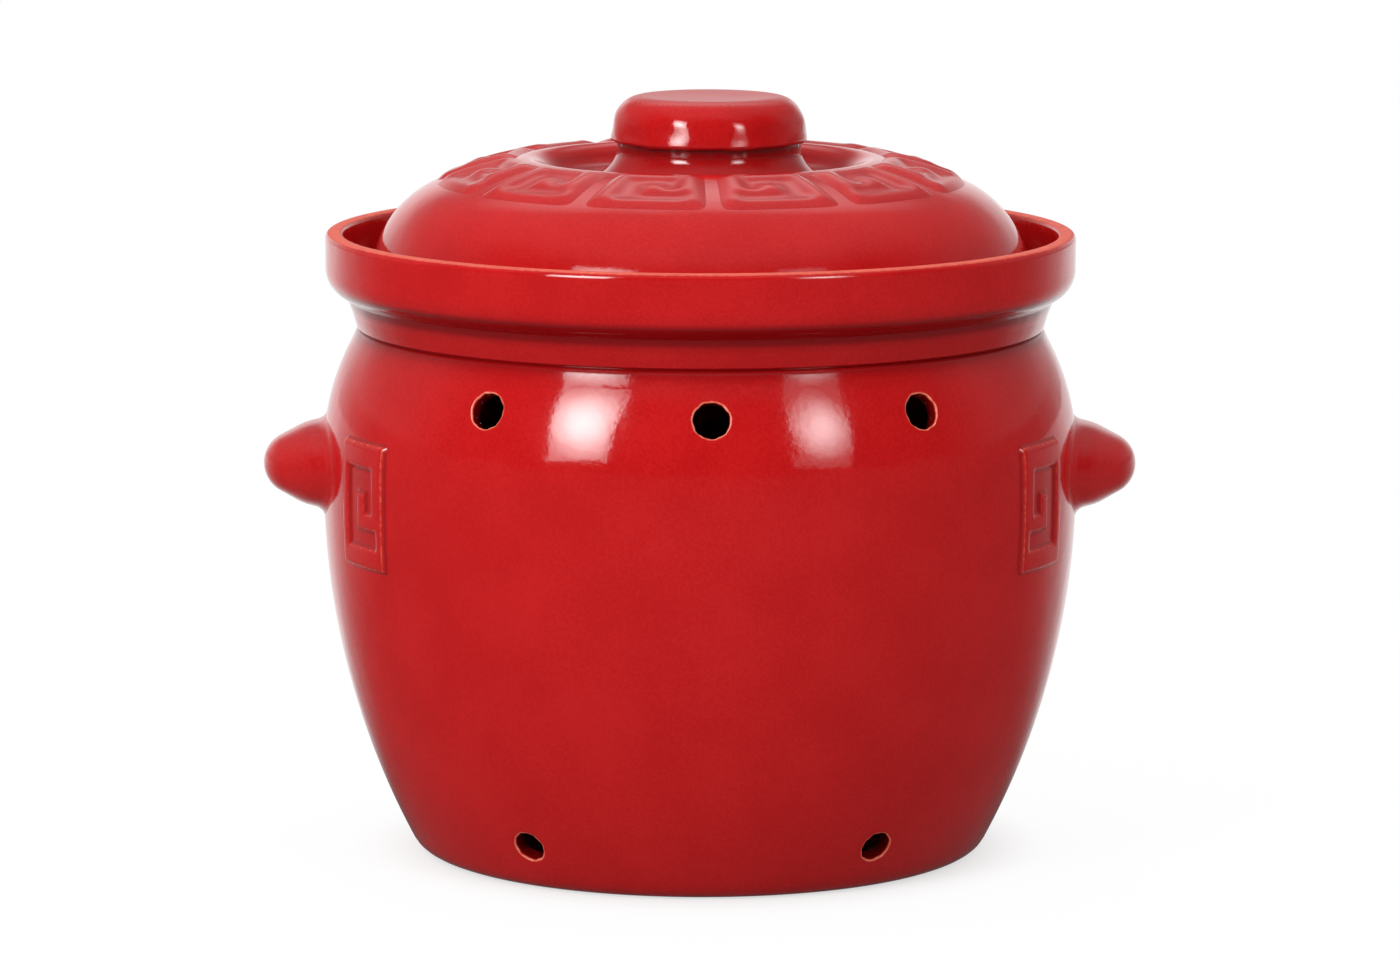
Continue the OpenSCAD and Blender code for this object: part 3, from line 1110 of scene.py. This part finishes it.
@dataclass
class Lid:
    """Domed lid that stands in the gutter, with its well, frieze and knob."""

    finish: Material
    foot_r: float = 125.5
    foot_z: float = 213.5
    lean: float = 18.0
    side_rise: float = 0.3
    side_r: float = 40.0
    side_end: float = 99.5
    top_r: float = 130.0
    top_end: float = 66.5
    crest_r: float = 8.0
    crest_turn: float = 150.0
    well_r: float = 8.0
    wall: float = 6.5
    panels: int = 12
    panel_angle: float = 26.5
    frieze_turn: float = 2.0
    panel_in: float = 68.0
    panel_out: float = 98.5
    knob_x: float = 3.0
    knob_gap: float = 3.5
    flare_r: float = 14.4
    flare_lean: float = 20.0
    neck_h: float = 14.4
    cap_over: float = 2.5
    cap_h: float = 16.5
    cap_round: float = 11.0
    cap_lean: float = 1.0
    cap_dish: float = 0.5
    cap_dent: float = 0.11
    cap_dents: tuple[tuple[int, float, float, float], ...] = (
        (11, 1.0, 0.4, 0.0), (5, 0.7, -0.55, 1.0))
    cap_wave: float = 0.16
    cap_waves: tuple[tuple[int, float, float], ...] = (
        (7, 1.0, 0.6), (13, 0.8, 2.0), (29, 0.6, 0.0))
    cap_sag: float = 0.8
    cap_pool_shade: float = 0.8
    cap_dull: float = 0.6
    well_pool: float = 0.75
    stem_pool_shade: float = 0.35

    def __post_init__(self) -> None:
        """Works out the curves of the lid, each starting where the one before ends."""
        lean_in = self.side_rise * math.tan(math.radians(self.lean))
        self.side_c = (self._skirt(-self.side_r) - lean_in, self.foot_z + self.side_rise)
        self.side_a = math.degrees(math.acos((self.side_end - self.side_c[0]) / self.side_r))
        self.top_c = onward(self.side_c, self.side_r - self.top_r, self.side_a)
        self.top_a = math.degrees(math.acos((self.top_end - self.top_c[0]) / self.top_r))
        self.crest_c = onward(self.top_c, self.top_r - self.crest_r, self.top_a)
        self.well_c = onward(self.crest_c, self.crest_r + self.well_r, self.crest_turn)
        self.well_z = self.well_c[1] - self.well_r
        self.flare_x = self.well_c[0] - self.knob_gap
        self.neck_r = self.flare_x - self.flare_r * math.cos(math.radians(self.flare_lean))
        self.cap_z = self.well_z + self.neck_h

    def _skirt(self, off: float) -> float:
        """Radius of the leaning side where it stands, when moved outwards."""
        return self.foot_r + off / math.cos(math.radians(self.lean))

    def build(self) -> None:
        """Builds the dome, the frieze and the knob."""
        self._dome()
        for index in range(1, self.panels + 1):
            bm = self._panel(index).mesh()
            place(bm, f"key_panel_{index:02d}", Body.LID, [f"frieze_panel_{index}"], self.finish)
        self._neck()
        self._cap()

    def _upper(self, shape: Outline, off: float, back: bool) -> None:
        """Adds the lid's upper side to an outline.

        Args:
            shape: The outline.
            off: How far the side is moved outwards.
            back: Whether it goes from the well to the foot.
        """
        runs = [(self.side_c, self.side_r + off, self.lean, self.side_a),
                (self.top_c, self.top_r + off, self.side_a, self.top_a),
                (self.crest_c, self.crest_r + off, self.top_a, self.crest_turn),
                (self.well_c, self.well_r - off, self.crest_turn - 180.0, -90.0)]
        for centre, radius, start, end in (reversed(runs) if back else runs):
            step = 5.0 if radius < 60.0 else 1.5
            shape.arc(centre, radius, *((end, start) if back else (start, end)), step)

    def _dome(self) -> None:
        """Builds the hollow dome with its foot."""
        shape = Outline().to(0.0, self.well_z)
        self._upper(shape, 0.0, True)
        shape.to(self.foot_r, self.foot_z, 1.0).to(self._skirt(-self.wall), self.foot_z, 1.0)
        self._upper(shape, -self.wall, False)
        shape.to(0.0, self.well_z - self.wall)
        bm = turn(shape.line(3.0), steps=300)
        lay(bm, Coat.BARE, lambda p: float(p.z < self.foot_z + 0.3))
        lay(bm, Coat.POOL, self._well_pool)
        place(bm, "lid_shell", Body.LID, ["lid_dome"], self.finish)

    def _well_pool(self, p: Vector) -> float:
        """How deep the glaze lies in the well."""
        near = 1.0 - ease(0.0, 8.0, abs(math.hypot(p.x, p.y) - self.well_c[0]))
        return self.well_pool * near * float(p.z > self.well_z - 1.0)

    def _on_top(self, radius: float, degrees: float, off: float) -> Vector:
        """Place that stands off the dome's top curve at a radius and angle."""
        a, reach = math.acos((radius - self.top_c[0]) / self.top_r), self.top_r + off
        return polar(self.top_c[0] + reach * math.cos(a), degrees,
                     self.top_c[1] + reach * math.sin(a))

    def _panel(self, index: int) -> KeyRelief:
        """Draws the relief of one frieze panel.

        Args:
            index: Its number, counted from the front towards the right.

        Returns:
            The relief, laid on the dome.
        """
        right = index <= self.panels // 2
        order = index if right else self.panels + 1 - index
        centre = (order - 0.5) * 360.0 / self.panels
        width = self.panel_out - self.panel_in

        def flat(across: float, up: float) -> Point:
            """Flat place on the panel."""
            r = self.panel_out - up * width
            return math.radians((0.5 - across) * self.panel_angle) * r, r

        def surface(across: float, up: float, off: float) -> Vector:
            """Place on the dome."""
            degrees = centre + (0.5 - across) * self.panel_angle
            return self._on_top(self.panel_out - up * width,
                                self.frieze_turn + (degrees if right else -degrees), off)

        return KeyRelief(flat, surface, thick=2.3, key_floor=0.0, edge=4.8, key_edge=5.0,
                         border=0.03, cells=(64, 48), soften=34, thin=0.08, deep_and_shaded=0.35, dull=0.40)

    def _neck(self) -> None:
        """Builds the flared neck in the well."""
        shape = Outline().to(0.0, self.well_z - 1.5).to(self.flare_x + 1.5, self.well_z - 1.5)
        shape.to(self.flare_x + 1.5, self.well_z - 0.05)
        shape.arc((self.flare_x, self.well_z + self.flare_r), self.flare_r, 270.0,
                  180.0 + self.flare_lean, 4.0)
        shape.to(self.neck_r, self.cap_z + 1.0).to(0.0, self.cap_z + 1.0)
        bm = turn(shape.line(1.5), steps=180)
        # Painted shade on the neck under the cap's overhang, over a little pooled glaze all down
        # it.
        lay(bm, Coat.POOL, lambda p: self.stem_pool_shade + (1.0 - self.stem_pool_shade)
            * ease(self.cap_z - 5.5, self.cap_z - 2.0, p.z))
        self._shift(bm)
        place(bm, "knob_stem", Body.LID, ["knob_neck"], self.finish)

    def _shift(self, bm: BMesh) -> None:
        """Moves a turned piece to the knob's place."""
        bmesh.ops.translate(bm, verts=bm.verts, vec=(self.knob_x * MM, 0.0, 0.0))

    def _cap(self) -> None:
        """Builds the cap with a slightly dished top and an uneven lower edge."""
        wide = self.neck_r + self.cap_over
        top = self.cap_z + self.cap_h
        flat = wide - self.cap_lean - self.cap_round
        shape = Outline().to(0.0, self.cap_z).to(self.neck_r - 2.0, self.cap_z)
        shape.to(wide, self.cap_z, 1.2)
        shape.arc((flat, top - self.cap_round), self.cap_round, 8.0, 90.0, 4.0)
        shape.to(0.5 * flat, top - 0.8 * self.cap_dish, 30.0).to(0.0, top - self.cap_dish)
        bm = turn(shape.line(1.2), steps=180)
        for v in bm.verts:
            p = v.co / MM
            a = math.atan2(p.y, p.x)
            low = 1.0 - ease(0.0, 2.6, p.z - self.cap_z)
            wave = sum(share * math.sin(count * a + start)
                       for count, share, start in self.cap_waves)
            sag = self.cap_wave * wave - self.cap_sag * ease(0.0, 1.0, -math.sin(a))
            v.co.z += MM * low * sag * ease(self.neck_r, wide - 1.0, math.hypot(p.x, p.y))
            dent = sum(share * (math.sin(count * a + twist * p.z + start) - 1.0)
                       for count, share, twist, start in self.cap_dents)
            side = ease(self.cap_z, self.cap_z + 3.0, p.z) * ease(top - 2.0, top - 6.0, p.z)
            v.co.xy *= 1.0 + self.cap_dent * dent * side / wide
        # Painted shade along the cap's underside and lower edge, over the seam with the neck.
        lay(bm, Coat.POOL, lambda p: self.cap_pool_shade * (1.0 - ease(0.0, 0.9, p.z - self.cap_z)))
        lay(bm, Coat.DULL, lambda p: self.cap_dull * ease(top - 3.0, top - 0.4, p.z))
        self._shift(bm)
        place(bm, "knob_cap_top", Body.LID, ["knob_cap"], self.finish)


@dataclass(frozen=True)
class Softbox:
    """Rectangular studio light that faces the pot."""

    name: str
    degrees: float
    rise: float
    far: float
    roll: float
    size: tuple[float, float]
    radiance: float
    rim_glow: float = 0.18
    reach: float = 0.56
    flat: float = 0.75

    def build(self, target: Vector) -> None:
        """Sets the light up at its angle and rise.

        Args:
            target: The place that it is turned to.
        """
        lamp = bpy.data.lights.new(self.name, "AREA")
        lamp.shape = "RECTANGLE"
        lamp.size, lamp.size_y = self.size
        lamp.energy = self.radiance * math.pi * self.size[0] * self.size[1]
        lamp.use_nodes = True
        g = Graph(lamp.node_tree)
        spot = g.add("ShaderNodeNewGeometry", out="Parametric")
        aside = g.add("ShaderNodeVectorMath", {"operation": "MULTIPLY_ADD"},
                      {0: spot, 1: (self.flat, 1.0, 0.0), 2: (-0.5 * self.flat, -0.5, 0.0)})
        fade = (1.0 - self.rim_glow) * (1.0 - g.length(aside).ease(0.0, self.reach))
        glow = g.add("ShaderNodeEmission", None, {"Strength": fade + self.rim_glow})
        g.add("ShaderNodeOutputLight", None, {"Surface": glow})
        light = show(self.name, lamp)
        up = math.radians(self.rise)
        way = polar(math.cos(up), self.degrees, math.sin(up))
        light.matrix_world = (Matrix.Translation(target + way * self.far)
                              @ way.to_track_quat("Z", "Y").to_matrix().to_4x4()
                              @ Matrix.Rotation(math.radians(self.roll), 4, "Z"))


@dataclass
class Studio:
    """White floor and surroundings, three softboxes and the camera."""

    camera_far: float = 2.465
    camera_up: float = 0.511
    camera_turn: float = -0.8
    camera_pitch: float = -8.6
    camera_roll: float = 0.15
    lens: float = 170.72
    sensor: float = 36.0
    target: Vector = field(default_factory=lambda: Vector((0.0, -0.13, 0.18)))
    ambient: float = 0.02
    above: float = 1.22
    fill: float = 0.27
    sides: float = 0.60
    backdrop: float = 0.85
    haze: float = 0.18
    ceiling: float = 0.30
    front: float = 0.03
    table: float = 0.10
    horizon: float = 0.085
    bounce: float = 0.56
    white: float = 0.90
    floor_half: float = 9.0
    lit_under: float = 0.60
    lit_near: float = 0.34
    lit_far: float = 0.06
    lit_edges: tuple[float, float, float] = (0.095, 0.135, 0.50)
    above_span: Span = (0.5, 0.95)
    fill_span: Span = (-0.9, 0.5)
    sides_out: Span = (0.45, 1.0)
    sides_back: Span = (-0.4, 0.3)
    backdrop_span: Span = (0.05, 0.65)
    ceiling_span: Span = (0.60, 0.90)
    haze_span: Span = (-0.3, 0.4)
    white_back: Span = (0.30, 0.95)
    white_power: float = 3.2
    white_top: Span = (0.15, 0.45)
    white_right: Span = (0.1, 0.6)
    white_loss: float = 0.35
    table_back: Span = (0.10, 0.85)
    table_power: float = 3.0

    def build(self) -> None:
        """Sets up camera, floor, lights and surroundings."""
        self._camera()
        self._floor()
        for box in (
            Softbox("softbox_left", degrees=-41.0, rise=26.8, far=1.5, roll=4.0,
                    size=(0.53, 0.95), radiance=18.0),
            Softbox("softbox_right", degrees=40.2, rise=25.3, far=1.5, roll=-8.0,
                    size=(0.47, 1.03), radiance=10.0, rim_glow=0.08, reach=0.50),
            Softbox("softbox_top", degrees=180.0, rise=44.0, far=1.3, roll=0.0,
                    size=(1.3, 0.85), radiance=1.1, rim_glow=0.0, reach=0.5, flat=1.0),
        ):
            box.build(self.target)
        self._surroundings()
        bpy.context.scene.view_settings.view_transform = "Standard"

    def _camera(self) -> None:
        """Puts the camera where the picture was taken from."""
        data = bpy.data.cameras.new("camera")
        data.lens, data.sensor_width = self.lens, self.sensor
        data.clip_start, data.clip_end = 0.05, 50.0
        camera = show("camera", data)
        spot = polar(self.camera_far, self.camera_turn, self.camera_up)
        tilt = (Matrix.Rotation(math.radians(self.camera_turn), 4, "Z")
                @ Matrix.Rotation(math.radians(90.0 + self.camera_pitch), 4, "X")
                @ Matrix.Rotation(math.radians(self.camera_roll), 4, "Z"))
        camera.matrix_world = Matrix.Translation(spot) @ tilt
        bpy.context.scene.camera = camera

    def _floor(self) -> None:
        """Lays a pale floor that shows white but keeps the pot's shadow."""
        bm = bmesh.new()
        bmesh.ops.create_grid(bm, x_segments=8, y_segments=8, size=self.floor_half)
        mesh = bpy.data.meshes.new("floor")
        bm.to_mesh(mesh)
        bm.free()
        made = bpy.data.materials.new("floor_white")
        made.use_nodes = True
        g = Graph(made.node_tree)
        where = g.add("ShaderNodeTexCoord", out="Object")
        far = g.length(where)
        seen, shiny = g.rays()
        colour = g.blend(seen, (self.bounce,) * 3, (self.white,) * 3)
        plain = g.add("ShaderNodeBsdfDiffuse", None, {"Color": colour})
        way = g.add("ShaderNodeVectorMath", {"operation": "NORMALIZE"}, {0: where})
        white = self._behind(g, way, self.table_back, self.table_power)
        mirrored = self.table + white * (1.0 - self.table)
        glow = g.add("ShaderNodeEmission", None, {"Strength": seen + shiny * mirrored})
        shown = (self.lit_under + self.lit_near * far.ease(*self.lit_edges[:2])
                 + self.lit_far * far.ease(*self.lit_edges[1:]))
        share = seen * shown + shiny
        mixed = g.add("ShaderNodeMixShader", None, {0: share, 1: plain, 2: glow})
        g.add("ShaderNodeOutputMaterial", None, {"Surface": mixed})
        mesh.materials.append(made)
        floor = show("floor", mesh)

    @staticmethod
    def _behind(g: Graph, way: Value, span: Span, power: float) -> Value:
        """How white a direction is, from 0 to 1 as its part to the back goes through a span."""
        return g.part(way, 1).ease(*span, "LINEAR").math("POWER", power)

    def _surroundings(self) -> None:
        """Makes what surrounds the pot: white behind, a pale table and a dim room in front."""
        world = bpy.data.worlds.new("studio")
        bpy.context.scene.world = world
        world.use_nodes = True
        g = Graph(world.node_tree)
        way = g.add("ShaderNodeTexCoord", out="Generated")
        side, back, level = (g.part(way, axis) for axis in range(3))
        low = 1.0 - level.ease(self.horizon - 0.02, self.horizon + 0.02)
        high = level.ease(*self.ceiling_span)
        room = (self.front + low * (self.table - self.front) + high * (self.ceiling - self.front)
                + back.ease(*self.haze_span) * (1.0 - low) * (1.0 - high) * self.haze)
        white = (self._behind(g, way, self.white_back, self.white_power)
                 * (1.0 - level.ease(*self.white_top))
                 * (1.0 - self.white_loss * side.ease(*self.white_right)))
        mirrored = room + white * (1.0 - room)
        beside = side.math("ABSOLUTE").ease(*self.sides_out)
        ambient = (self.ambient + self.fill * (1.0 - side.ease(*self.fill_span))
                   + self.above * level.ease(*self.above_span)
                   + self.sides * beside * back.ease(*self.sides_back)
                   + self.backdrop * back.ease(*self.backdrop_span))
        seen, shiny = g.rays()
        light = ambient + shiny * (mirrored - ambient)
        strength = light + seen * (1.0 - light)
        glow = g.add("ShaderNodeBackground", None,
                     {"Color": (1.0, 1.0, 1.0, 1.0), "Strength": strength})
        g.add("ShaderNodeOutputWorld", None, {"Surface": glow})


def main() -> None:
    """Builds the studio and the pieces in order."""
    logging.basicConfig(level=logging.INFO, format="%(name)s: %(message)s")
    Studio().build()
    finish = RedGlaze().material()
    wall = PotWall(finish)
    wall.build()
    Rim(finish).build()
    for hand in Hand:
        Lug(finish, wall, hand).build()
    Plaques(finish, wall).build()
    Lid(finish).build()


if __name__ == "__main__":
    main()
